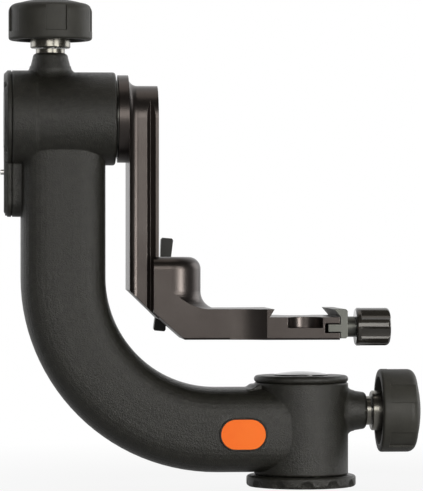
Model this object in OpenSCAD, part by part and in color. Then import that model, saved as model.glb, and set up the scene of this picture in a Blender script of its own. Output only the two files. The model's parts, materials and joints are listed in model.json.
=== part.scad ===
// Gimbal tripod head: base, J-arm, swing arm, carriage and plate clamp.
// Millimetres. +Z up, origin on the pan axis in the base's bottom plane, -Y is the front.

/* [Base] */
// Diameter of the scalloped base ring
base_dia = 59.7; // [57:0.1:62]
// Height of the base ring
base_height = 6.2; // [5.8:0.1:6.6]
// Rounding of the base ring's edges
base_edge = 1.6; // [1:0.1:2]
// Number of finger scoops round the base ring
scoop_count = 12; // [10:1:14]
// Width of one finger scoop
scoop_width = 8.2; // [7:0.1:9]
// Depth of one finger scoop
scoop_depth = 1.8; // [1.2:0.1:2.2]
// Wall diameter of the tripod thread
thread_dia = 8; // [7.8:0.05:8.4]
// Depth of the tripod thread
thread_depth = 13; // [11:0.5:14]

/* [Spindles] */
// Diameter of the pan and tilt spindles
spindle_dia = 20; // [18:0.1:21]
// Diameter of the spindle's threaded end
spindle_end_dia = 16; // [14:0.1:17]
// Diameter of the pan spindle's foot
foot_dia = 41; // [39:0.1:42]
// Thickness of the pan spindle's foot
foot_thick = 3.5; // [3:0.1:3.8]
// Outer diameter of the bearings
bearing_dia = 34; // [32:0.1:36]
// Length of the lower pan bearing
pan_bearing_length = 10; // [8:0.1:12]
// Length of the left tilt bearing
tilt_bearing_length = 6.5; // [5.5:0.1:6.8]
// Thickness of the spindle washers
washer_thick = 1.5; // [1:0.1:1.8]
// Width across flats of the spindle nuts
nut_flats = 22; // [20:0.5:24]
// Height of the spindle nuts
nut_height = 4; // [3.5:0.1:4.3]
// Radial running clearance of shafts in their bores
running_fit = 0.05; // [0.03:0.01:0.08]
// Gap between faces that move past each other
moving_gap = 0.3; // [0.25:0.01:0.35]

/* [Pan housing] */
// Outer diameter of the pan housing
pan_dia = 51.4; // [50:0.1:53]
// Height of the pan housing's top above the base plane
pan_top = 56.5; // [56:0.1:57]
// Height of the pan lock axis
pan_lock_height = 41; // [40:0.1:42]
// Diameter of the cap's rim circle
cap_rim_dia = 47.6; // [46.8:0.1:47.6]
// Height of the pan cap
cap_height = 3.9; // [3.6:0.1:4.2]
// Diameter of the glossy cap disc
cap_disc_dia = 29.6; // [26:0.1:32]
// Rise of the cap disc's dome
cap_disc_rise = 1.5; // [1:0.1:2]

/* [J-arm] */
// Distance from the pan axis to the upright's centreline
arm_reach = 130; // [129:0.5:131]
// Height of the lower limb's centreline
arm_low = 31; // [30.5:0.1:31.5]
// Radius of the bend's centreline
arm_bend = 83; // [80:0.5:86]
// Width of the arm seen from the front
arm_width = 46; // [45:0.1:47]
// Depth of the arm at the pan end
arm_depth_pan = 49.2; // [48:0.1:50]
// Depth of the arm at the tilt end
arm_depth_tilt = 37.2; // [35:0.1:39]
// Squareness of the arm's section: 2 is an ellipse, higher is squarer
arm_squareness = 3.4; // [2.6:0.1:4.2]
// Length of the orange side plate
plate_length = 24.9; // [22:0.1:27]
// Height of the orange side plate
plate_height = 16.9; // [15:0.1:18]
// Thickness of the orange side plate
plate_thick = 1; // [0.8:0.1:1.4]
// Distance of the side plate's centre from the pan axis
plate_reach = 33.7; // [32:0.1:36]

/* [Tilt housing] */
// Height of the tilt axis
tilt_height = 200; // [199:0.5:201]
// Outer diameter of the housing's left part
housing_dia = 52.4; // [51.6:0.1:53.4]
// Outer diameter of the housing's right part
housing_nose_dia = 50.6; // [49.8:0.1:51.4]
// Distance from the upright's centreline to the housing's left face
housing_outset = 27.5; // [27:0.1:29]
// Distance from the upright's centreline to the housing's right face
housing_inset = 28.4; // [27.4:0.1:29]
// Distance from the upright's centreline to the tilt lock axis, on the left
tilt_lock_offset = 6.8; // [5:0.1:8]
// Thickness of the end cover
cover_thick = 4.5; // [4:0.1:5]
// Width and depth of the groove between the end cover and the housing
cover_groove = 0.6; // [0.4:0.1:0.8]
// Chamfer round the end cover
cover_chamfer = 2; // [1:0.1:2.5]
// Width of the end cover's tab
tab_width = 18; // [16:0.1:20]
// Drop of the tab's end below the tilt axis
tab_drop = 53.3; // [52:0.1:54]
// Radius of the circle through the rim screws
cover_screw_ring = 22.6; // [22:0.1:23]
// Head diameter of a cover screw
cover_head_dia = 5.2; // [4.6:0.1:5.4]
// Diameter of the pin in the cover's tab
cover_pin_dia = 2.9; // [2.5:0.1:3.2]

/* [Lock knobs] */
// Diameter of a knob grip
grip_dia = 45.4; // [44:0.1:47]
// Depth of a knob grip
grip_depth = 22.6; // [22:0.1:23.5]
// Rounding of the grip's front edge
grip_round = 4.7; // [3.5:0.1:5]
// Rise of the grip's domed end
grip_dome = 2.6; // [1:0.1:3]
// Number of finger recesses round a grip
recess_count = 5; // [4:1:6]
// Angle that one finger recess spans
recess_angle = 29; // [22:1:34]
// Depth of a finger recess
recess_depth = 1; // [0.6:0.1:1.4]
// Distance from the grip's back rim to its finger recesses
recess_start = 4.5; // [4:0.1:7]
// Diameter of the knob collar
collar_dia = 21.8; // [20:0.1:23]
// Diameter of the lock studs
stud_dia = 8; // [7:0.1:8.5]
// Diameter of the brake plugs
plug_dia = 10; // [9.2:0.1:10.4]
// Width of the ring on each neck
ring_width = 2.3; // [2:0.1:2.5]
// Diameter of the ring on each neck
ring_dia = 15.8; // [15:0.1:17]
// Radius of each neck at its foot
neck_foot = 11.2; // [10.6:0.1:11.6]
// Fillet between each neck and its housing
neck_blend = 3.6; // [2.5:0.1:4.2]

/* [Swing arm] */
// Diameter of the swing arm's disc
disc_dia = 47.6; // [46:0.1:49]
// Thickness of the swing arm's disc
disc_thick = 5.6; // [5:0.1:6.5]
// Width of the rail bar
bar_width = 36; // [35.4:0.1:36.6]
// Thickness of the rail bar
bar_thick = 15.95; // [15.5:0.05:16.4]
// Radius of the flare that widens the bar towards its left face, and of the fillet to the disc
bar_fillet = 5; // [4:0.1:5.5]
// Depth of the V-groove along each side of the bar
groove_depth = 2.65; // [2.4:0.05:2.8]
// Height of the bar's foot at its left face
bar_foot = 107.4; // [105:0.1:109]

/* [Carriage] */
// Width of the carriage block
block_width = 48; // [47:0.1:49]
// Height of the block's top in the lowest position
block_top = 125; // [123:0.1:126.5]
// Radius of the block's right corners
block_corner = 17; // [15:0.1:18]
// Fillet round the block's top edge
block_fillet = 6.5; // [5.5:0.1:7]
// Radius of the cove between block and platform
cove = 9.3; // [8:0.1:10]
// Height of the platform's top
platform_top = 97; // [96.8:0.1:97.4]
// Height of the platform's underside
platform_low = 80.5; // [80:0.1:81]
// Bevel along the platform's lower edges
platform_bevel = 0.9; // [0.6:0.1:1.2]
// Length of the plate clamp
clamp_length = 60; // [57:0.1:62]
// Height of the clamp's floor
clamp_floor = 92.7; // [92.5:0.1:93]
// Radius of the half-round notch in each end of the clamp
notch_radius = 9.4; // [8:0.1:10]
// Depth of the half-round notches
notch_depth = 5.8; // [4:0.1:5.9]
// Thickness of the far-side carriage jaw
side_jaw_thick = 5.7; // [5:0.1:6.5]
// Diameter of the wing screw
wing_screw_dia = 6; // [5:0.1:6.5]
// Height of the wing screw's axis
wing_height = 109.6; // [108:0.1:111]
// Span of the wing knob
wing_span = 51.6; // [48:0.1:54]
// Lean of the wings from upright
wing_lean = 4.8; // [0:0.1:10]

/* [Plate clamp] */
// Thickness of the moving jaw's plate
jaw_thick = 3.9; // [3.5:0.1:4.3]
// Reach of the jaw's lip over the plate's edge
lip_reach = 3.5; // [3:0.1:4]
// Height of the jaw's guide tongue
tongue_height = 4.1; // [3.8:0.1:4.4]
// Length of the jaw's guide tongue
tongue_length = 6.6; // [6:0.1:7.4]
// Diameter of the clamp screw
clamp_screw_dia = 6; // [5.4:0.1:6.2]
// Height of the clamp screw's axis
clamp_screw_height = 86.8; // [86.6:0.1:87]
// Diameter of the jaw's boss
boss_dia = 11.2; // [10.4:0.1:12]
// Diameter of the clamp knob
clamp_knob_dia = 20.8; // [19:0.1:22]
// Length of the clamp knob
clamp_knob_length = 19.3; // [18:0.1:21]
// Rounding of the clamp knob's front edge
clamp_knob_round = 2.2; // [1.6:0.1:3]
// Number of flutes round the clamp knob
flute_count = 6; // [5:1:7]
// Width of one flute
flute_width = 6.8; // [5.5:0.1:7.6]
// Depth of one flute
flute_depth = 1.5; // [1.2:0.1:1.8]

/* [Hidden] */
$fn = 36;

housing_left = arm_reach + housing_outset;
housing_right = arm_reach - housing_inset;
tilt_lock_reach = arm_reach + tilt_lock_offset;
spindle_r = spindle_dia / 2;
end_r = spindle_end_dia / 2;
foot_top = base_height + foot_thick;
bearing_r = bearing_dia / 2;
bearing_bore = spindle_r + running_fit;
lower_bearing_z = foot_top + moving_gap;
upper_bearing_z = 47.5;
upper_bearing_top = 52;
pan_washer_z = upper_bearing_top + moving_gap;
pan_nut_z = pan_washer_z + washer_thick;
pan_r = pan_dia / 2;
nut_r = nut_flats / 2 / cos(30);
nut_room = 17;
limb_top = arm_low + arm_width / 2;
blend = 8;
arm_sides = 44;

neck_x = 35.5;
pan_ring_end = neck_x + ring_width;
pan_collar_x = pan_ring_end + moving_gap + 0.2;
pan_grip_x = pan_collar_x + 4.3;
neck_z = tilt_height + 35.4;
tilt_ring_end = neck_z + ring_width;
tilt_collar_z = tilt_ring_end + moving_gap + 0.2;
tilt_grip_z = tilt_collar_z + 4.3;
collar_length = 8.3;
stud_r = stud_dia / 2;
plug_r = plug_dia / 2;
plug_length = 15;
plug_face = spindle_r + moving_gap;

swing_left = housing_right - 1.2;
bar_left = swing_left - disc_thick;
bar_right = bar_left - bar_thick;
rail_gap = 0.3;
groove_tip = bar_right + 4.4;
lip_left = groove_tip - groove_depth;
hook_left = lip_left + 1.45;
half_bar = bar_width / 2;
tilt_washer_x = housing_left - 7.7;
tilt_nut_x = tilt_washer_x + washer_thick;
left_bearing_x = tilt_washer_x - moving_gap;

block_right = bar_right - 23.25;
slant_x = 16.85 - hook_left;
half_block = block_width / 2;
half_clamp = clamp_length / 2;
corner_x = -block_right - block_corner;
jaw_face = 17.9;
jaw_x = jaw_face + moving_gap;
clamp_screw_r = clamp_screw_dia / 2;
clamp_bore = clamp_screw_r + running_fit;
wing_x = hook_left - 8.55;
side_jaw_y = half_bar + rail_gap;
side_jaw_end = side_jaw_y + side_jaw_thick;
side_jaw_right = wing_x - 9;
wing_y = side_jaw_end + moving_gap;

function arc(x, y, r, a, b, n = 8) =
    [for (i = [0:n]) [x + r * cos(a + (b - a) * i / n), y + r * sin(a + (b - a) * i / n)]];
// Radius of a round cutter that leaves a scoop of this width and depth in a round of radius r
function scoop_r(r, w, d) =
    let (s = d - r + sqrt(r * r - w * w / 4)) (w * w / 4 + s * s) / (2 * s);

// A cylinder from a to b along X, and the same along Y
module x_rod(a, b, r, y = 0, z = 0) {
    translate([a, y, z]) rotate([0, 90, 0]) cylinder(r = r, h = b - a);
}

module y_rod(a, b, r, x = 0, z = 0) {
    translate([x, a, z]) rotate([-90, 0, 0]) cylinder(r = r, h = b - a);
}

// A flat outline in X and Z, drawn out along Y from a to b
module y_slab(a, b) {
    translate([0, b, 0]) rotate([90, 0, 0]) linear_extrude(b - a) children();
}

// A hollow round with a bore, standing on z
module sleeve(z, h, outer, bore) {
    translate([0, 0, z]) difference() {
        cylinder(r = outer, h = h);
        translate([0, 0, -1]) cylinder(r = bore, h = h + 2);
    }
}

// A hexagon nut with a chamfered rim, standing on z
module hex_nut(z) {
    translate([0, 0, z]) difference() {
        intersection() {
            cylinder(r = nut_r, h = nut_height, $fn = 6);
            rotate_extrude() polygon([[0, 0], [nut_r, 0], [nut_r, nut_height - 0.8],
                [nut_r - 1.4, nut_height], [0, nut_height]]);
        }
        translate([0, 0, -1]) cylinder(r = end_r, h = nut_height + 2);
    }
}

module base_ring() {
    r = base_dia / 2;
    cutter = scoop_r(r, scoop_width, scoop_depth);
    color("#222222") difference() {
        rotate_extrude() polygon(concat([[6, 0]], arc(r - base_edge, base_edge, base_edge, -90, 0),
            arc(r - base_edge, base_height - base_edge, base_edge, 0, 90), [[6, base_height]]));
        for (i = [0:scoop_count - 1]) {
            rotate([0, 0, 360 / scoop_count * i - 90]) translate([r - scoop_depth + cutter, 0, 0])
                sphere(r = cutter);
        }
        translate([0, 0, -1]) cylinder(r = 7, h = base_height + 2);
        translate([0, 0, base_height - 2]) cylinder(r = 10, h = 3);
        for (i = [0:2]) {
            rotate([0, 0, 120 * i + 30]) translate([15.5, 0, 0]) {
                translate([0, 0, -1]) cylinder(r = 1.6, h = base_height + 2);
                translate([0, 0, -1]) cylinder(r = 3.1, h = 4);
            }
        }
    }
}

module thread_bush() {
    color("#9a9a9a") difference() {
        union() {
            cylinder(r = 7, h = thread_depth + 2);
            translate([0, 0, base_height - 2]) cylinder(r = 10, h = 2);
        }
        translate([0, 0, -1]) cylinder(r = thread_dia / 2, h = thread_depth + 1);
    }
}

module spindle_screws() {
    color("#888888") for (i = [0:2]) {
        rotate([0, 0, 120 * i + 30]) translate([15.5, 0, 0]) difference() {
            union() {
                translate([0, 0, 0.3]) cylinder(r = 2.75, h = 2.7);
                translate([0, 0, 2]) cylinder(r = 1.5, h = base_height + 0.4);
            }
            cylinder(r = 1.5, h = 1.8, $fn = 6);
        }
    }
}

module pan_spindle() {
    color("#a8a8a8") difference() {
        rotate_extrude() polygon([[0, base_height], [foot_dia / 2, base_height], [foot_dia / 2, foot_top],
            [spindle_r, foot_top], [spindle_r, pan_washer_z], [end_r, pan_washer_z],
            [end_r, pan_nut_z + nut_height + 0.3], [end_r - 0.6, pan_nut_z + nut_height + 0.9],
            [0, pan_nut_z + nut_height + 0.9]]);
        translate([0, 0, base_height - 1]) cylinder(r = 7, h = thread_depth + 3 - base_height);
        for (i = [0:2]) {
            rotate([0, 0, 120 * i + 30]) translate([15.5, 0, base_height - 1]) cylinder(r = 1.5, h = 3.5);
        }
    }
}

module pan_washer() {
    color("#b0b0b0") sleeve(pan_washer_z, washer_thick, nut_room - 1.5, end_r);
}

module pan_nut() {
    color("#909090") hex_nut(pan_nut_z);
}

// Half an axis of a rounded square at angle t
function squared(t) = sign(t) * pow(abs(t), 2 / arm_squareness);

// One rounded section of the arm: centre, angle of its outward side, half depth
function section(x, z, a, half) = [for (i = [0:arm_sides - 1])
    let (t = 360 / arm_sides * (i + 0.5), u = arm_width / 2 * squared(cos(t)))
    [x + u * cos(a), half * squared(sin(t)), z + u * sin(a)]];

// Fillet where a neck along +Z leaves a barrel that lies along X; its rings keep to both rounds
module neck_fillet(barrel, neck, fillet) {
    sides = 40;
    rings = 6;
    points = concat([for (i = [0:rings], k = [0:sides - 1])
        let (t = 12 + 78 * i / rings, a = 360 / sides * k, r = neck + fillet * (1 - sin(t)), y = r * sin(a))
        [r * cos(a), y, sqrt(barrel * barrel - y * y) + fillet * (1 - cos(t)) - 0.4]],
        [[0, 0, barrel / 2], [0, 0, barrel + 1]]);
    low = (rings + 1) * sides;
    top = rings * sides;
    polyhedron(points, concat(
        [for (i = [0:rings - 1], k = [0:sides - 1])
            [i * sides + k, (i + 1) * sides + k, (i + 1) * sides + (k + 1) % sides]],
        [for (i = [0:rings - 1], k = [0:sides - 1])
            [i * sides + k, (i + 1) * sides + (k + 1) % sides, i * sides + (k + 1) % sides]],
        [for (k = [0:sides - 1]) [low, k, (k + 1) % sides]],
        [for (k = [0:sides - 1]) [low + 1, top + (k + 1) % sides, top + k]]));
}

// The tapering J: its depth falls steadily from the bend's start to the tilt end
module j_tube() {
    steps = 28;
    upright = tilt_height - 10 - arm_low - arm_bend;
    bend_length = arm_bend * PI / 2;
    deep = arm_depth_pan / 2;
    slope = (deep - arm_depth_tilt / 2) / (bend_length + upright - 8);
    rings = concat([section(-2, arm_low, 270, deep)],
        [for (i = [0:steps]) let (a = 270 - 90 * i / steps)
            section(arm_bend - arm_reach + arm_bend * cos(a), arm_low + arm_bend + arm_bend * sin(a), a,
                deep - slope * bend_length * i / steps)],
        [section(-arm_reach, tilt_height - 10, 180, deep - slope * (bend_length + upright))]);
    n = len(rings[0]);
    points = [for (r = rings) each r];
    last = len(rings) - 1;
    faces = concat([[for (k = [n - 1:-1:0]) k]],
        [for (i = [0:last - 1], k = [0:n - 1]) [i * n + k, i * n + (k + 1) % n, (i + 1) * n + k]],
        [for (i = [0:last - 1], k = [0:n - 1])
            [(i + 1) * n + k, i * n + (k + 1) % n, (i + 1) * n + (k + 1) % n]],
        [[for (k = [0:n - 1]) last * n + k]]);
    polyhedron(points, faces);
}

// Outline of the end cover and the boss behind it, in X (drop) and Y
module tab_outline(inset = 0) {
    w = tab_width / 2;
    circle(r = housing_dia / 2 - inset);
    translate([0, inset - w]) square([tab_drop - w, 2 * (w - inset)]);
    translate([tab_drop - w, 0]) circle(r = w - inset);
}

module screw_places() {
    for (a = [45, 135, 225, 315]) {
        rotate([a, 0, 0]) translate([0, 0, cover_screw_ring]) children();
    }
    translate([0, 0, 3.3 - tab_drop]) children();
}

module arm_casting() {
    nose = housing_nose_dia / 2;
    body = housing_dia / 2;
    color("#1e1e1e") difference() {
        union() {
            rotate_extrude() polygon([[0, base_height + moving_gap], [pan_r - 0.6, base_height + moving_gap],
                [pan_r, base_height + moving_gap + 0.6], [pan_r, pan_top - 0.6], [pan_r - 0.6, pan_top],
                [0, pan_top]]);
            j_tube();
            rotate([0, 0, 152]) rotate_extrude(angle = 56) polygon(concat([[pan_r - 2, limb_top - 6]],
                [[pan_r + blend, limb_top - 6], [pan_r + blend, limb_top - 0.6]],
                arc(pan_r + blend, limb_top - 0.6 + blend, blend, -90, -132, 7),
                [[pan_r - 2, pan_top - 0.6]]));
            translate([0, 0, tilt_height]) rotate([0, 90, 0]) rotate_extrude()
                polygon(concat([[0, -housing_left], [body - 0.4, -housing_left], [body, 0.4 - housing_left],
                    [body, -arm_reach - 15], [nose, -arm_reach - 13.4]],
                    arc(nose - 1.5, -housing_right - 1.5, 1.5, 0, 90, 5), [[0, -housing_right]]));
            translate([-housing_left, 0, tilt_height]) rotate([0, 90, 0]) linear_extrude(9) tab_outline();
            translate([0, 0, pan_lock_height]) rotate([0, 90, 0]) rotate_extrude()
                polygon(concat([[0, 18], [neck_foot, 18], [neck_foot, 27], [10.2, 33.3]],
                    arc(8, 33.3, 2.2, 0, 90, 6), [[0, neck_x]]));
            translate([0, 0, pan_lock_height]) rotate([0, 90, 0])
                neck_fillet(pan_r, neck_foot, neck_blend);
            translate([-tilt_lock_reach, 0, tilt_height]) rotate_extrude()
                polygon(concat([[0, 18], [neck_foot, 18], [neck_foot, 27], [9.6, 33.2]],
                    arc(7.4, 33.2, 2.2, 0, 90, 6), [[0, neck_z - tilt_height]]));
            translate([-tilt_lock_reach, 0, tilt_height]) neck_fillet(nose, neck_foot, neck_blend);
        }
        translate([0, 0, base_height - 1])
            cylinder(r = foot_dia / 2 + 0.5, h = lower_bearing_z - base_height + 1);
        translate([0, 0, base_height]) cylinder(r = bearing_r, h = pan_top);
        translate([0, 0, upper_bearing_top]) cylinder(r = bearing_r + 2, h = 10);
        x_rod(0, neck_x - 6.5, plug_r + running_fit, 0, pan_lock_height);
        x_rod(0, neck_x + 1, stud_r + running_fit, 0, pan_lock_height);
        x_rod(-housing_left - 1, -left_bearing_x, nut_room + 1.5, 0, tilt_height);
        x_rod(-housing_left, 1 - housing_right, bearing_r, 0, tilt_height);
        translate([-tilt_lock_reach, 0, tilt_height]) {
            cylinder(r = plug_r + running_fit, h = 29);
            cylinder(r = stud_r + running_fit, h = 40);
        }
        translate([-housing_left, 0, tilt_height]) screw_places() x_rod(-1, 7, 1.5);
        x_rod(-housing_left - 1, 4 - housing_left, cover_pin_dia / 2, 0, tilt_height - 29);
        translate([-plate_reach, -arm_depth_pan / 2 + plate_thick - 0.4, arm_low - 1.5]) plate_body(5, 0.2);
    }
}

module pan_bearing_lower() {
    color("#b58a3c") sleeve(lower_bearing_z, pan_bearing_length, bearing_r, bearing_bore);
}

module pan_bearing_upper() {
    color("#b58a3c") sleeve(upper_bearing_z, upper_bearing_top - upper_bearing_z, bearing_r, bearing_bore);
}

module pan_cap() {
    tube = cap_height / 2;
    rim = cap_rim_dia / 2;
    color("#1c1c1c") translate([0, 0, pan_top]) difference() {
        rotate_extrude() polygon(concat([[0, 0]], arc(rim, tube, tube, -90, 90, 14), [[0, cap_height]]));
        translate([0, 0, -1]) cylinder(r = bearing_r + 2, h = cap_height - 0.4);
    }
}

module pan_cap_disc() {
    r = cap_disc_dia / 2;
    dome = (r * r + cap_disc_rise * cap_disc_rise) / (2 * cap_disc_rise);
    color("#0c0c0c") translate([0, 0, pan_top + cap_height]) rotate_extrude()
        polygon(concat([[0, 0], [r, 0]],
            arc(0, 0.6 + cap_disc_rise - dome, dome, 90 - asin(r / dome), 90, 8)));
}

// The side plate's stadium shape, thick from its back towards -Y
module plate_body(thick, grow) {
    r = plate_height / 2 + grow;
    half = (plate_length - plate_height) / 2;
    rotate([90, 0, 0]) linear_extrude(thick) {
        translate([-half, -r]) square([2 * half, 2 * r]);
        translate([-half, 0]) circle(r = r);
        translate([half, 0]) circle(r = r);
    }
}

module side_plate() {
    color("#f07820") translate([-plate_reach, -arm_depth_pan / 2 + plate_thick - 0.4, arm_low - 1.5])
        plate_body(plate_thick, 0);
}

module pan_neck_ring() {
    color("#3a3834") translate([neck_x, 0, pan_lock_height]) rotate([0, 90, 0])
        sleeve(0, ring_width, ring_dia / 2, stud_r + running_fit);
}

module tilt_bearing_left() {
    color("#b58a3c") translate([-left_bearing_x, 0, tilt_height]) rotate([0, 90, 0])
        sleeve(0, tilt_bearing_length, bearing_r, bearing_bore);
}

module tilt_bearing_right() {
    color("#b58a3c") translate([-housing_right - 11.4, 0, tilt_height]) rotate([0, 90, 0])
        sleeve(0, 8, bearing_r, bearing_bore);
}

module tilt_end_cover() {
    flat = cover_thick - cover_chamfer;
    end_x = tab_drop - tab_width / 2;
    w = tab_width / 2;
    c = cover_chamfer;
    r = housing_dia / 2;
    color("#202020") difference() {
        translate([-housing_left, 0, tilt_height]) rotate([0, 90, 0]) mirror([0, 0, 1]) {
            linear_extrude(cover_groove) tab_outline(cover_groove);
            translate([0, 0, cover_groove]) linear_extrude(flat - cover_groove) tab_outline();
            translate([0, 0, flat]) {
                cylinder(r1 = r, r2 = r - c, h = c);
                translate([end_x, 0, 0]) cylinder(r1 = w, r2 = w - c, h = c);
                rotate([90, 0, 90]) linear_extrude(end_x)
                    polygon([[-w, 0], [w, 0], [w - c, c], [c - w, c]]);
            }
        }
        translate([-housing_left, 0, tilt_height]) screw_places() {
            x_rod(-cover_thick - 1, 1, 1.6);
            x_rod(-cover_thick - 1, -1.4, cover_head_dia / 2 + 0.3);
        }
        x_rod(-housing_left - cover_thick - 1, 1 - housing_left, cover_pin_dia / 2, 0, tilt_height - 29);
    }
}

module cover_screws() {
    color("#3a3a3a") translate([-housing_left, 0, tilt_height]) screw_places() difference() {
        union() {
            x_rod(-3.9, -1.4, cover_head_dia / 2);
            x_rod(-2, 6, 1.5);
        }
        translate([-4, 0, 0]) rotate([0, 90, 0]) cylinder(r = 1.45, h = 1.6, $fn = 6);
    }
}

module cover_pin() {
    color("#b8b8b8") x_rod(-housing_left - cover_thick - 1.9, 4 - housing_left, cover_pin_dia / 2, 0,
        tilt_height - 29);
}

module tilt_neck_ring() {
    color("#3a3834") translate([-tilt_lock_reach, 0, 0])
        sleeve(neck_z, ring_width, ring_dia / 2, stud_r + running_fit);
}

// A brake plug along +Z from the spindle's axis; its face is hollowed to the spindle's round
module brake_plug() {
    difference() {
        translate([0, 0, 2]) cylinder(r = plug_r, h = plug_face + plug_length - 2);
        x_rod(-10, 10, plug_face);
    }
}

// A knob grip along +Z with its back on zero
module knob_grip() {
    r = grip_dia / 2;
    side = grip_depth - grip_dome;
    end_r2 = r - grip_round;
    dome = (end_r2 * end_r2 + grip_dome * grip_dome) / (2 * grip_dome);
    difference() {
        rotate_extrude() polygon(concat([[0, 0]], arc(r - 1.5, 1.5, 1.5, -90, 0, 5),
            arc(r - grip_round, side - grip_round, grip_round, 0, 80, 8),
            arc(0, grip_depth - dome, dome, 90 - asin(end_r2 / dome), 90, 6)));
        for (i = [0:recess_count - 1]) {
            rotate([0, 0, 360 / recess_count * i]) translate([0, 0, recess_start])
                linear_extrude(grip_depth) difference() {
                    polygon([[0, 0], [2 * r, -2 * r * tan(recess_angle / 2)],
                        [2 * r, 2 * r * tan(recess_angle / 2)]]);
                    circle(r = r - recess_depth);
                }
        }
        rotate_extrude() polygon([[0, -1], [18.8, -1], [18.2, 4], [0, 4]]);
        cylinder(r = stud_r, h = 12);
    }
}

module knob_collar() {
    difference() {
        rotate_extrude() polygon([[0, 0], [collar_dia / 2 - 0.6, 0], [collar_dia / 2, 0.6],
            [collar_dia / 2, collar_length], [0, collar_length]]);
        translate([0, 0, -1]) cylinder(r = stud_r, h = collar_length + 2);
    }
}

module pan_knob_place() {
    translate([0, 0, pan_lock_height]) rotate([0, 90, 0]) children();
}

module tilt_knob_place() {
    translate([-tilt_lock_reach, 0, 0]) children();
}

module pan_brake_plug() {
    color("#c9a050") translate([0, 0, pan_lock_height]) rotate([0, 90, 0]) brake_plug();
}

module pan_knob_grip() {
    color("#161616") pan_knob_place() translate([0, 0, pan_grip_x]) rotate([0, 0, 26]) knob_grip();
}

module pan_knob_collar() {
    color("#3a3834") pan_knob_place() translate([0, 0, pan_collar_x]) knob_collar();
}

module pan_lock_stud() {
    color("#a8a8a8") pan_knob_place() translate([0, 0, plug_face + plug_length]) cylinder(r = stud_r,
        h = pan_grip_x + 12 - plug_face - plug_length);
}

module tilt_brake_plug() {
    color("#c9a050") translate([-tilt_lock_reach, 0, tilt_height]) brake_plug();
}

module tilt_knob_grip() {
    color("#161616") tilt_knob_place() translate([0, 0, tilt_grip_z]) rotate([0, 0, -83]) knob_grip();
}

module tilt_knob_collar() {
    color("#3a3834") tilt_knob_place() translate([0, 0, tilt_collar_z]) knob_collar();
}

module tilt_lock_stud() {
    z = tilt_height + plug_face + plug_length;
    color("#a8a8a8") tilt_knob_place() translate([0, 0, z]) cylinder(r = stud_r, h = tilt_grip_z + 12 - z);
}

module swing_arm() {
    disc_r = disc_dia / 2;
    color("#2a2829") difference() {
        union() {
            x_rod(-swing_left, -bar_left, disc_r, 0, tilt_height);
            translate([-bar_left, 0, tilt_height]) rotate([0, 90, 0]) rotate_extrude()
                polygon(concat([[0, -1], [half_bar + bar_fillet, -1]],
                    arc(half_bar + bar_fillet, bar_fillet, bar_fillet, -90, -180, 9), [[0, bar_fillet]]));
            x_rod(-bar_left, -bar_right, half_bar, 0, tilt_height);
            translate([-bar_left, -half_bar, 80]) cube([bar_thick, bar_width, tilt_height - 80]);
            for (s = [0, 1]) {
                translate([-bar_left, 0, 80]) mirror([0, s, 0]) linear_extrude(tilt_height - 80)
                    polygon(concat([[bar_fillet, 0], [0, 0]],
                        arc(bar_fillet, half_bar + bar_fillet, bar_fillet, 180, 270, 9)));
            }
        }
        for (s = [-1, 1]) {
            translate([0, 0, 70]) linear_extrude(tilt_height) polygon([
                [-groove_tip, s * (half_bar - groove_depth)], [-lip_left + 1, s * (half_bar + 1)],
                [-groove_tip - 2.7, s * (half_bar + 1)]]);
        }
        x_rod(-swing_left - 1, 9 - bar_left, spindle_r - 2, 0, tilt_height);
        y_slab(-30, 30) polygon([[-bar_left - 2, bar_foot + 1.56], [2 - bar_right, bar_foot - 17.9],
            [2 - bar_right, 50], [-bar_left - 2, 50]]);
    }
}

module tilt_spindle() {
    color("#a8a8a8") translate([0, 0, tilt_height]) rotate([0, -90, 0]) rotate_extrude()
        polygon([[0, bar_left - 9], [spindle_r - 2, bar_left - 9], [spindle_r - 2, swing_left],
            [spindle_r, swing_left], [spindle_r, tilt_washer_x], [end_r, tilt_washer_x],
            [end_r, tilt_nut_x + nut_height + 0.3], [end_r - 0.6, tilt_nut_x + nut_height + 0.9],
            [0, tilt_nut_x + nut_height + 0.9]]);
}

module tilt_washer() {
    color("#b0b0b0") translate([0, 0, tilt_height]) rotate([0, -90, 0])
        sleeve(tilt_washer_x, washer_thick, nut_room - 1.5, end_r);
}

module tilt_nut() {
    color("#909090") translate([0, 0, tilt_height]) rotate([0, -90, 0]) hex_nut(tilt_nut_x);
}

module thrust_washer() {
    color("#404040") translate([0, 0, tilt_height]) rotate([0, -90, 0])
        sleeve(swing_left, 0.9, disc_dia / 2 - 2.8, spindle_r + running_fit);
}

// Plan of the platform: block width on the left, flaring to the clamp's length on the right
module platform_plan() {
    translate([-hook_left, -half_block]) square([hook_left - 40, 2 * half_block]);
    difference() {
        translate([-41, -half_clamp]) square([41 + jaw_face, clamp_length]);
        for (s = [-1, 1]) {
            translate([-41, s * (half_block + 35)]) circle(r = 35);
        }
    }
}

// Upright block over the platform, with round right corners and a rounded top edge
module carriage_block() {
    low = platform_low + 5;
    h = block_top - low;
    f = block_fillet;
    flat_y = half_block - block_corner;
    edge = concat([[0, 0], [block_corner, 0]], arc(block_corner - f, h - f, f, 0, 90, 12), [[0, h]]);
    translate([-hook_left, 0, low]) rotate([90, 0, 90]) linear_extrude(hook_left + corner_x)
        polygon(concat([[-half_block, 0], [half_block, 0]], arc(half_block - f, h - f, f, 0, 90, 12),
            arc(f - half_block, h - f, f, 90, 180, 12)));
    translate([corner_x, 0, low]) y_slab(-flat_y, flat_y) polygon(edge);
    for (a = [-90, 0]) {
        translate([corner_x, (a < 0 ? -1 : 1) * flat_y, low]) rotate([0, 0, a]) rotate_extrude(angle = 90)
            polygon(edge);
    }
}

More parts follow.
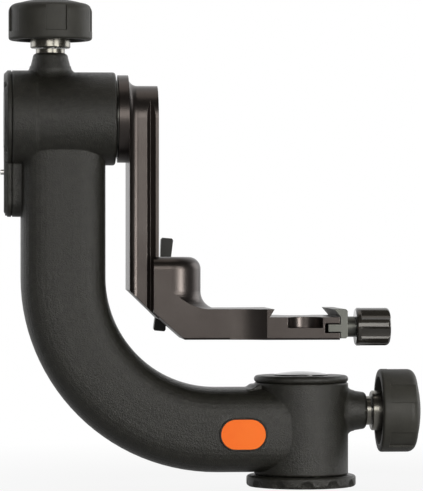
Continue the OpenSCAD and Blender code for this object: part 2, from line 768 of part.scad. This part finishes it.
// Cove that runs along the foot of the block and round its corners
module block_cove() {
    flat_y = half_block - block_corner;
    c = block_corner;
    edge = concat([[c - 2, -1], [c + cove, -1]], arc(c + cove, cove, cove, -90, -180, 10), [[c - 2, cove]]);
    intersection() {
        union() {
            translate([corner_x, 0, platform_top]) y_slab(-flat_y, flat_y) polygon(edge);
            for (a = [-90, 0]) {
                translate([corner_x, (a < 0 ? -1 : 1) * flat_y, platform_top]) rotate([0, 0, a])
                    rotate_extrude(angle = 90) polygon(edge);
            }
        }
        translate([0, 0, platform_top - 1]) linear_extrude(cove + 2) platform_plan();
    }
}

// Long wedges that bevel the platform's lower edges
module edge_bevels() {
    b = platform_bevel;
    for (s = [-1, 1]) {
        translate([-30, 0, platform_low]) rotate([90, 0, 90]) linear_extrude(60)
            polygon([[s * (half_clamp + 1), -1], [s * (half_clamp - b - 1), -1],
                [s * (half_clamp + 1), b + 1]]);
        translate([-hook_left - 8, 0, platform_low]) rotate([90, 0, 90]) linear_extrude(hook_left - 33)
            polygon([[s * (half_block + 1), -1], [s * (half_block - b - 1), -1],
                [s * (half_block + 1), b + 1]]);
    }
}

module carriage_bracket() {
    flank = rail_gap * (sqrt(2) - 1);
    tip_y = half_bar - hook_left + lip_left + rail_gap * sqrt(2);
    slot_y = half_bar + rail_gap;
    outer_x = hook_left + 13;
    color("#343032") difference() {
        union() {
            translate([0, 0, platform_low]) linear_extrude(platform_top - platform_low) platform_plan();
            carriage_block();
            block_cove();
        }
        edge_bevels();
        y_slab(-40, 40) polygon([[-hook_left - 3, 97.9], [slant_x, platform_low], [slant_x, 70],
            [-hook_left - 3, 70]]);
        translate([0, 0, 70]) linear_extrude(70) polygon([[rail_gap - bar_right, -slot_y],
            [-lip_left - flank, -slot_y], [-hook_left, -tip_y], [-outer_x, -tip_y], [-outer_x, tip_y],
            [-hook_left, tip_y], [-lip_left - flank, slot_y], [rail_gap - bar_right, slot_y]]);
        translate([-outer_x, half_bar, platform_top + 0.3]) cube([outer_x + 0.3 - side_jaw_right, 20, 40]);
        translate([-outer_x, 10, 70]) cube([outer_x + rail_gap - bar_right, 20, 60]);
        y_slab(-40, 40) polygon([[-17.4, platform_top + 1], [-17.4, platform_top], [-19.95, clamp_floor],
            [20, clamp_floor], [20, platform_top + 1]]);
        for (s = [-1, 1]) {
            translate([-0.8, s * half_clamp, clamp_floor - notch_depth]) cylinder(r = notch_radius, h = 10);
        }
        translate([jaw_face - 8.1, -40, clamp_screw_height - tongue_height / 2 - 0.5])
            cube([10, 80, tongue_height + 1]);
        x_rod(-14, 20, clamp_bore, 0, clamp_screw_height);
        x_rod(jaw_face - 8.1, 20, 4.9, 0, clamp_screw_height);
        y_rod(0, 30, wing_screw_dia / 2 + running_fit, -wing_x, wing_height);
    }
}

module carriage_jaw() {
    flank = rail_gap * (sqrt(2) - 1);
    tip_y = half_bar - hook_left + lip_left + rail_gap * sqrt(2);
    color("#343032") difference() {
        translate([0, 0, platform_top + 0.6]) linear_extrude(block_top - platform_top - 2.6) polygon([
            [-hook_left, tip_y], [-lip_left - flank, side_jaw_y], [-side_jaw_right, side_jaw_y],
            [-side_jaw_right, side_jaw_end - 1.5], [-side_jaw_right - 1.5, side_jaw_end],
            [1.5 - hook_left, side_jaw_end], [-hook_left, side_jaw_end - 1.5]]);
        y_rod(10, 40, wing_screw_dia / 2 + 0.3, -wing_x, wing_height);
    }
}

// Face-on shape of the two wings, in X and Z
module wing_shape() {
    tip = wing_span / 2;
    for (s = [-1, 1]) {
        polygon([[-2.2, 0], [2.2, 0], [3.3, s * (tip - 1)], [2.6, s * tip], [-2.6, s * tip],
            [-3.3, s * (tip - 1)]]);
    }
}

module wing_knob() {
    half = wing_span / 2;
    color("#202020") translate([-wing_x, wing_y, wing_height]) rotate([0, wing_lean, 0]) difference() {
        union() {
            y_rod(0, 10, 6);
            y_rod(10, 11, 5);
            intersection() {
                y_slab(0, 20) wing_shape();
                translate([-5, 0, 0]) rotate([90, 0, 90]) linear_extrude(10) polygon([[1.5, 0], [4, half],
                    [11, half + 1], [13, half - 4], [9, 4], [9, -4], [13, 4 - half], [11, -half - 1],
                    [4, -half]]);
            }
        }
        y_rod(-1, 8, wing_screw_dia / 2);
    }
}

module wing_screw() {
    color("#909090") y_rod(3, wing_y + 8, wing_screw_dia / 2, -wing_x, wing_height);
}

module clamp_jaw() {
    x2 = jaw_x + jaw_thick;
    low = platform_low + 0.8;
    mid = tongue_height / 2;
    color("#3a3c3a") difference() {
        union() {
            y_slab(-half_clamp, half_clamp) polygon([[jaw_x, low], [x2 - 1, low], [x2, low + 1],
                [x2, platform_top - 1], [x2 - 1, platform_top], [jaw_x - lip_reach, platform_top],
                [jaw_x, clamp_floor + 0.2]]);
            translate([jaw_x - tongue_length, -half_clamp, clamp_screw_height - mid])
                cube([tongue_length + 1, clamp_length, tongue_height]);
            x_rod(x2 - 1, x2 + 7.3, boss_dia / 2, 0, clamp_screw_height);
        }
        translate([0, -6, clamp_screw_height - 5]) cube([jaw_x, 12, 9.5]);
        x_rod(10, 40, clamp_bore + 0.15, 0, clamp_screw_height);
    }
}

module clamp_knob() {
    r = clamp_knob_dia / 2;
    front = clamp_knob_round;
    cutter = scoop_r(r, flute_width, flute_depth);
    color("#101010") translate([jaw_x + jaw_thick + 7.6, 0, clamp_screw_height]) rotate([0, 90, 0])
        difference() {
            rotate_extrude() polygon(concat([[0, 0], [r - 0.8, 0], [r, 0.8]],
                arc(r - front, clamp_knob_length - front - 0.5, front, 0, 75, 6),
                [[0, clamp_knob_length]]));
            for (i = [0:flute_count - 1]) {
                rotate([0, 0, 360 / flute_count * i - 12]) translate([r + cutter - flute_depth, 0, 2.5])
                    cylinder(r = cutter, h = 20);
            }
            translate([0, 0, -1]) cylinder(r = clamp_screw_r, h = 9);
        }
}

module clamp_screw() {
    color("#a0a0a0") x_rod(-12, jaw_x + jaw_thick + 15.6, clamp_screw_r, 0, clamp_screw_height);
}

module clamp_clip() {
    color("#707070") translate([jaw_face - 1.1, 0, clamp_screw_height]) rotate([0, 90, 0])
        sleeve(0, 1.1, 4.6, clamp_screw_r);
}

base_ring();
thread_bush();
spindle_screws();
pan_spindle();
pan_washer();
pan_nut();
arm_casting();
pan_bearing_lower();
pan_bearing_upper();
pan_cap();
pan_cap_disc();
side_plate();
pan_neck_ring();
tilt_bearing_left();
tilt_bearing_right();
tilt_end_cover();
cover_screws();
cover_pin();
tilt_neck_ring();
pan_brake_plug();
pan_knob_grip();
pan_knob_collar();
pan_lock_stud();
tilt_brake_plug();
tilt_knob_grip();
tilt_knob_collar();
tilt_lock_stud();
swing_arm();
tilt_spindle();
tilt_washer();
tilt_nut();
thrust_washer();
carriage_bracket();
carriage_jaw();
wing_knob();
wing_screw();
clamp_jaw();
clamp_knob();
clamp_screw();
clamp_clip();
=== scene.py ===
import json
import math

import bmesh
import bpy
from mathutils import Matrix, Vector


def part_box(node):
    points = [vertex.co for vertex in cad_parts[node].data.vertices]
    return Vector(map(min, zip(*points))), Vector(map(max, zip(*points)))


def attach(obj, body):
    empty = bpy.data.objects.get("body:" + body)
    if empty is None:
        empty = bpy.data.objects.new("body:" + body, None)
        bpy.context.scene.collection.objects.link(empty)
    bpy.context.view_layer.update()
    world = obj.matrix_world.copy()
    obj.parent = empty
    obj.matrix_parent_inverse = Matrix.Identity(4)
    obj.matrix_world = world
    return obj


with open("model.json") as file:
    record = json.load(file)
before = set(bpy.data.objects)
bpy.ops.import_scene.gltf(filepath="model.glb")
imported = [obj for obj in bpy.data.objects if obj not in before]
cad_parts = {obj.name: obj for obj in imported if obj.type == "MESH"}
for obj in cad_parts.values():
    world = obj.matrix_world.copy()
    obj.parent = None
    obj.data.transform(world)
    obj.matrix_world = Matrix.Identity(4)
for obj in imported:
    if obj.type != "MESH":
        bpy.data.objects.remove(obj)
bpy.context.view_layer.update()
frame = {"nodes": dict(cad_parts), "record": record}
nodes = frame["nodes"]
mm = 0.001
print("frame loaded:", len(nodes), "nodes")


# What every finish shares: the part of the noise it uses, and how the two noises are made
noiseUse = {
    "low": 0.3, "high": 0.7, "patchDetail": 3.0, "patchRough": 0.55, "grainDetail": 5.0, "grainRough": 0.7}
coatRoughness = 0.08
bevelSamples = 8


# Every finish is one noise-driven material, made from its settings
def startMaterial(name):
    mat = bpy.data.materials.new(name)
    mat.use_nodes = True
    tree = mat.node_tree
    shader = tree.nodes["Principled BSDF"]
    coords = tree.nodes.new("ShaderNodeTexCoord")
    return mat, tree, shader, coords


def addNoise(tree, coords, scale, detail, rough):
    noise = tree.nodes.new("ShaderNodeTexNoise")
    noise.inputs["Scale"].default_value = scale
    noise.inputs["Detail"].default_value = detail
    noise.inputs["Roughness"].default_value = rough
    tree.links.new(coords.outputs["Object"], noise.inputs["Vector"])
    return noise.outputs["Fac"]


def addRamp(tree, fac, lowColour, highColour, low, high):
    ramp = tree.nodes.new("ShaderNodeValToRGB")
    ramp.color_ramp.elements[0].position = low
    ramp.color_ramp.elements[1].position = high
    ramp.color_ramp.elements[0].color = (*lowColour, 1)
    ramp.color_ramp.elements[1].color = (*highColour, 1)
    tree.links.new(fac, ramp.inputs["Fac"])
    return ramp.outputs["Color"]


def addRange(tree, fac, low, high):
    span = tree.nodes.new("ShaderNodeMapRange")
    span.inputs["From Min"].default_value = noiseUse["low"]
    span.inputs["From Max"].default_value = noiseUse["high"]
    span.inputs["To Min"].default_value = low
    span.inputs["To Max"].default_value = high
    tree.links.new(fac, span.inputs["Value"])
    return span.outputs["Result"]


def addBump(tree, shader, height, strength, depth, edge):
    bump = tree.nodes.new("ShaderNodeBump")
    bump.inputs["Strength"].default_value = strength
    bump.inputs["Distance"].default_value = depth
    tree.links.new(height, bump.inputs["Height"])
    bevel = tree.nodes.new("ShaderNodeBevel")  # softly rounded edges and facets
    bevel.samples = bevelSamples
    bevel.inputs["Radius"].default_value = edge
    tree.links.new(bevel.outputs["Normal"], bump.inputs["Normal"])
    tree.links.new(bump.outputs["Normal"], shader.inputs["Normal"])


def makeFinish(name, look):
    mat, tree, shader, coords = startMaterial(name)
    low, high = look["colours"]
    patches = addNoise(tree, coords, look["patchScale"], noiseUse["patchDetail"], noiseUse["patchRough"])
    grain = addNoise(tree, coords, look["grainScale"], noiseUse["grainDetail"], noiseUse["grainRough"])
    colour = addRamp(tree, patches, low, high, noiseUse["low"], noiseUse["high"])
    tree.links.new(colour, shader.inputs["Base Color"])
    tree.links.new(addRange(tree, grain, *look["roughness"]), shader.inputs["Roughness"])
    shader.inputs["Metallic"].default_value = look.get("metallic", 0.0)
    shader.inputs["Coat Weight"].default_value = look.get("coat", 0.0)
    shader.inputs["Coat Roughness"].default_value = coatRoughness
    shader.inputs["Specular IOR Level"].default_value = look.get("specular", 0.5)
    addBump(tree, shader, grain, look["bump"], look["bumpDepth"], look["edge"])
    return mat


finishes = {
    "blackPaint": {
        "colours": ((0.0105, 0.0102, 0.0082), (0.0195, 0.019, 0.0155)), "patchScale": 300, "grainScale": 1100,
        "roughness": (0.27, 0.45), "specular": 0.37, "bump": 0.9, "bumpDepth": 0.00045, "edge": 0.0012},
    "knobRubber": {
        "colours": ((0.026, 0.0253, 0.0215), (0.036, 0.035, 0.03)), "patchScale": 120, "grainScale": 1700,
        "roughness": (0.44, 0.58), "specular": 0.26, "bump": 0.3, "bumpDepth": 0.00014, "edge": 0.0005},
    "darkAnodised": {
        "colours": ((0.054, 0.0465, 0.0435), (0.067, 0.059, 0.0555)), "patchScale": 45, "grainScale": 2200,
        "roughness": (0.26, 0.36), "metallic": 0.95, "bump": 0.08, "bumpDepth": 0.00006, "edge": 0.0005},
    "jawAnodised": {
        "colours": ((0.084, 0.086, 0.078), (0.105, 0.108, 0.098)), "patchScale": 45, "grainScale": 2200,
        "roughness": (0.34, 0.44), "metallic": 0.85, "bump": 0.08, "bumpDepth": 0.00006, "edge": 0.0004},
    "glossBlack": {
        "colours": ((0.008, 0.008, 0.0075), (0.014, 0.014, 0.013)), "patchScale": 40, "grainScale": 500,
        "roughness": (0.12, 0.18), "coat": 0.5, "bump": 0.03, "bumpDepth": 0.00005, "edge": 0.0006},
    "brightMetal": {
        "colours": ((0.62, 0.61, 0.6), (0.72, 0.71, 0.7)), "patchScale": 70, "grainScale": 900,
        "roughness": (0.16, 0.26), "metallic": 1.0, "bump": 0.03, "bumpDepth": 0.00004, "edge": 0.0003},
    "darkMetal": {
        "colours": ((0.19, 0.182, 0.162), (0.25, 0.24, 0.215)), "patchScale": 90, "grainScale": 900,
        "roughness": (0.18, 0.28), "metallic": 0.95, "bump": 0.05, "bumpDepth": 0.00004, "edge": 0.0003},
    "turnedSteel": {
        "colours": ((0.42, 0.42, 0.42), (0.54, 0.54, 0.54)), "patchScale": 80, "grainScale": 1300,
        "roughness": (0.24, 0.36), "metallic": 1.0, "bump": 0.06, "bumpDepth": 0.00005, "edge": 0.0003},
    "blackSteel": {
        "colours": ((0.05, 0.05, 0.045), (0.075, 0.075, 0.07)), "patchScale": 80, "grainScale": 1500,
        "roughness": (0.25, 0.36), "metallic": 0.9, "bump": 0.05, "bumpDepth": 0.00005, "edge": 0.0003},
    "bearingBronze": {
        "colours": ((0.5, 0.33, 0.14), (0.6, 0.4, 0.18)), "patchScale": 80, "grainScale": 1500,
        "roughness": (0.28, 0.4), "metallic": 1.0, "bump": 0.05, "bumpDepth": 0.00005, "edge": 0.0003},
    "clampKnobBlack": {
        "colours": ((0.03, 0.027, 0.023), (0.042, 0.038, 0.033)), "patchScale": 50, "grainScale": 1200,
        "roughness": (0.12, 0.18), "metallic": 0.5, "coat": 0.6, "bump": 0.04, "bumpDepth": 0.00004,
        "edge": 0.0006},
    "wingBlack": {
        "colours": ((0.008, 0.008, 0.0068), (0.0125, 0.0125, 0.011)), "patchScale": 60, "grainScale": 1500,
        "roughness": (0.34, 0.46), "metallic": 0.3, "specular": 0.3, "bump": 0.06, "bumpDepth": 0.00005,
        "edge": 0.0005},
    "orangePlate": {
        "colours": ((0.93, 0.15, 0.006), (0.96, 0.175, 0.01)), "patchScale": 60, "grainScale": 1200,
        "roughness": (0.34, 0.44), "specular": 0.25, "bump": 0.05, "bumpDepth": 0.00005, "edge": 0.0003},
}
materials = {name: makeFinish(name, look) for name, look in finishes.items()}

finishOfSlot = {
    "black_paint": "blackPaint", "knob_rubber": "knobRubber", "dark_anodised": "darkAnodised",
    "jaw_anodised": "jawAnodised", "gloss_black": "glossBlack", "bright_metal": "brightMetal",
    "dark_metal": "darkMetal", "steel": "turnedSteel", "black_steel": "blackSteel", "bronze": "bearingBronze",
    "orange_plate": "orangePlate",
}
finishOfNode = {"clamp_knob": "clampKnobBlack", "wing_knob": "wingBlack"}  # two knobs with their own finish
for part in frame["record"]["subparts"]:
    mesh = nodes[part["node"]].data
    finish = finishOfNode.get(part["node"], finishOfSlot[part["material_slot"]])
    mesh.materials.clear()
    mesh.materials.append(materials[finish])
print("finishes given to every node")


# Thin dark bead round the orange plate, its middle just under the plate's face
plateBead = {"thick": 0.45 * mm, "sunk": 0.1 * mm, "steps": 20, "rounding": 3}


def makePlateBead():
    low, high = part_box("side_plate")
    radius = (high.z - low.z) / 2
    centreZ = (low.z + high.z) / 2
    path = []
    for middleX, start in ((high.x - radius, -90), (low.x + radius, 90)):  # right end, then left end
        for k in range(plateBead["steps"] + 1):
            turn = math.radians(start + 180 * k / plateBead["steps"])
            path.append(Vector((middleX + radius * math.cos(turn), low.y, centreZ + radius * math.sin(turn))))
    curve = bpy.data.curves.new("plateBead", "CURVE")
    curve.dimensions = "3D"
    curve.bevel_depth = plateBead["thick"]
    curve.bevel_resolution = plateBead["rounding"]
    line = curve.splines.new("POLY")
    line.points.add(len(path) - 1)
    for point, place in zip(line.points, path):
        point.co = (place.x, place.y + plateBead["sunk"], place.z, 1)
    line.use_cyclic_u = True
    bead = bpy.data.objects.new("plateBead", curve)
    bpy.context.scene.collection.objects.link(bead)
    curve.materials.append(materials["blackPaint"])
    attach(bead, "arm")


makePlateBead()
print("plate bead made")


# The studio: pale floor that keeps the part's real shadow and adds a painted shade, a darker pool round the
# part's base, and a backdrop dim in front and white behind
studio = {
    "floorSize": 6.0, "floorColour": (0.25, 0.25, 0.25), "floorRoughness": 0.9,
    "paintedPoolWhite": 0.9, "fadeStarts": 0.12, "fadeEnds": 0.4,
    "floorSeen": {"Is Camera Ray": 1, "Is Glossy Ray": 0.3, "Is Transmission Ray": 1},
    "front": (0.03, 0.026, 0.02), "behind": (1.0, 1.0, 1.0), "frontEnds": 0.1, "behindStarts": 0.6,
    "backdropSeen": {"Is Camera Ray": 1, "Is Glossy Ray": 0.03, "Is Transmission Ray": 1},
}


# How white the background is for each kind of ray that sees it
def seenWhite(tree, whiteOfRay):
    ray = tree.nodes.new("ShaderNodeLightPath")
    seen = None
    for kind, white in whiteOfRay.items():
        total = tree.nodes.new("ShaderNodeMath")
        total.operation = "MULTIPLY_ADD"
        tree.links.new(ray.outputs[kind], total.inputs[0])
        total.inputs[1].default_value = white
        total.inputs[2].default_value = 0
        if seen:
            tree.links.new(seen, total.inputs[2])
        seen = total.outputs[0]
    return seen


def makeFloor():
    mesh = bpy.data.meshes.new("floor")
    bm = bmesh.new()
    bmesh.ops.create_grid(bm, x_segments=2, y_segments=2, size=studio["floorSize"] / 2)
    bm.to_mesh(mesh)
    bm.free()
    floor = bpy.data.objects.new("floor", mesh)
    bpy.context.scene.collection.objects.link(floor)
    mat, tree, shader, coords = startMaterial("floorPaper")
    shader.inputs["Base Color"].default_value = (*studio["floorColour"], 1)
    shader.inputs["Roughness"].default_value = studio["floorRoughness"]
    white = tree.nodes.new("ShaderNodeEmission")
    far = tree.nodes.new("ShaderNodeVectorMath")
    far.operation = "LENGTH"
    tree.links.new(coords.outputs["Object"], far.inputs[0])
    # Painted shade: the floor's white share is lowest near the part, so the floor is painted darker round its
    # base
    paintedPool = tree.nodes.new("ShaderNodeMapRange")
    paintedPool.inputs["From Min"].default_value = studio["fadeStarts"]
    paintedPool.inputs["From Max"].default_value = studio["fadeEnds"]
    paintedPool.inputs["To Min"].default_value = studio["paintedPoolWhite"]
    tree.links.new(far.outputs["Value"], paintedPool.inputs["Value"])
    share = tree.nodes.new("ShaderNodeMath")
    share.operation = "MULTIPLY"
    mix = tree.nodes.new("ShaderNodeMixShader")
    seen = seenWhite(tree, studio["floorSeen"])
    tree.links.new(seen, share.inputs[0])
    tree.links.new(paintedPool.outputs["Result"], share.inputs[1])
    tree.links.new(share.outputs[0], mix.inputs["Fac"])
    tree.links.new(shader.outputs["BSDF"], mix.inputs[1])
    tree.links.new(white.outputs["Emission"], mix.inputs[2])
    tree.links.new(mix.outputs["Shader"], tree.nodes["Material Output"].inputs["Surface"])
    mesh.materials.append(mat)


def makeWorld():
    world = bpy.data.worlds.new("studio")
    bpy.context.scene.world = world
    world.use_nodes = True
    tree = world.node_tree
    backdrop = tree.nodes["Background"]
    coords = tree.nodes.new("ShaderNodeTexCoord")
    split = tree.nodes.new("ShaderNodeSeparateXYZ")
    tree.links.new(coords.outputs["Generated"], split.inputs["Vector"])
    span = tree.nodes.new("ShaderNodeMapRange")
    span.inputs["From Min"].default_value = studio["frontEnds"]
    span.inputs["From Max"].default_value = studio["behindStarts"]
    tree.links.new(split.outputs["Y"], span.inputs["Value"])
    colour = addRamp(tree, span.outputs["Result"], studio["front"], studio["behind"], 0.0, 1.0)
    mix = tree.nodes.new("ShaderNodeMix")
    mix.data_type = "RGBA"
    mix.inputs["B"].default_value = (1, 1, 1, 1)
    seen = seenWhite(tree, studio["backdropSeen"])
    tree.links.new(seen, mix.inputs["Factor"])
    tree.links.new(colour, mix.inputs["A"])
    tree.links.new(mix.outputs["Result"], backdrop.inputs["Color"])


# Six soft lamps, each aimed at the part's middle unless it has a target
partMiddle = (-0.05, 0, 0.13)
warm = (1, 0.985, 0.95)
lamps = {
    "rightBox": {"place": (1.0, -1.7, 0.45), "size": (0.9, 1.0), "power": 13, "colour": warm},
    "frontFill": {"place": (-0.3, -2.6, 0.7), "size": (1.5, 1.0), "power": 24, "colour": warm},
    "nearCard": {"place": (0.34, -0.5, 0.04), "size": (0.16, 0.16), "power": 1.9, "colour": warm,
                 "target": (0.02, 0, 0.05)},
    "topFill": {"place": (-0.1, 0.1, 1.7), "size": (1.0, 1.0), "power": 3, "colour": (1, 0.94, 0.88)},
    "rightRear": {"place": (2.0, 0.9, 0.7), "size": (1.4, 1.4), "power": 14},
    "leftRear": {"place": (-2.0, 0.9, 0.7), "size": (1.4, 1.4), "power": 9},
}


def addLamp(name, lampSet):
    data = bpy.data.lights.new(name, "AREA")
    data.shape = "RECTANGLE"
    data.size, data.size_y = lampSet["size"]
    data.energy = lampSet["power"]
    data.color = lampSet.get("colour", (1, 1, 1))
    lamp = bpy.data.objects.new(name, data)
    place = Vector(lampSet["place"])
    lamp.location = place
    lamp.rotation_mode = "QUATERNION"
    lamp.rotation_quaternion = (Vector(lampSet.get("target", partMiddle)) - place).to_track_quat("-Z", "Y")
    bpy.context.scene.collection.objects.link(lamp)


makeFloor()
makeWorld()
for name, lampSet in lamps.items():
    addLamp(name, lampSet)
print("studio set")

# The camera stands at the photograph's place, level with the arm's middle; yaw and fov in degrees
photoView = {
    "yaw": 4.47, "distance": 1.7168, "middleX": -0.04905, "height": 0.1312, "fov": 8.914, "clip": (0.05, 20)}


def makeCamera():
    data = bpy.data.cameras.new("photoCamera")
    data.sensor_fit = "AUTO"
    data.angle = math.radians(photoView["fov"])
    data.clip_start, data.clip_end = photoView["clip"]
    camera = bpy.data.objects.new("photoCamera", data)
    yaw = math.radians(photoView["yaw"])
    camera.location = (photoView["middleX"] - photoView["distance"] * math.sin(yaw),
                       -photoView["distance"] * math.cos(yaw), photoView["height"])
    camera.rotation_euler = (math.pi / 2, 0, -yaw)
    bpy.context.scene.collection.objects.link(camera)
    bpy.context.scene.camera = camera


makeCamera()
bpy.context.scene.view_settings.view_transform = "Standard"
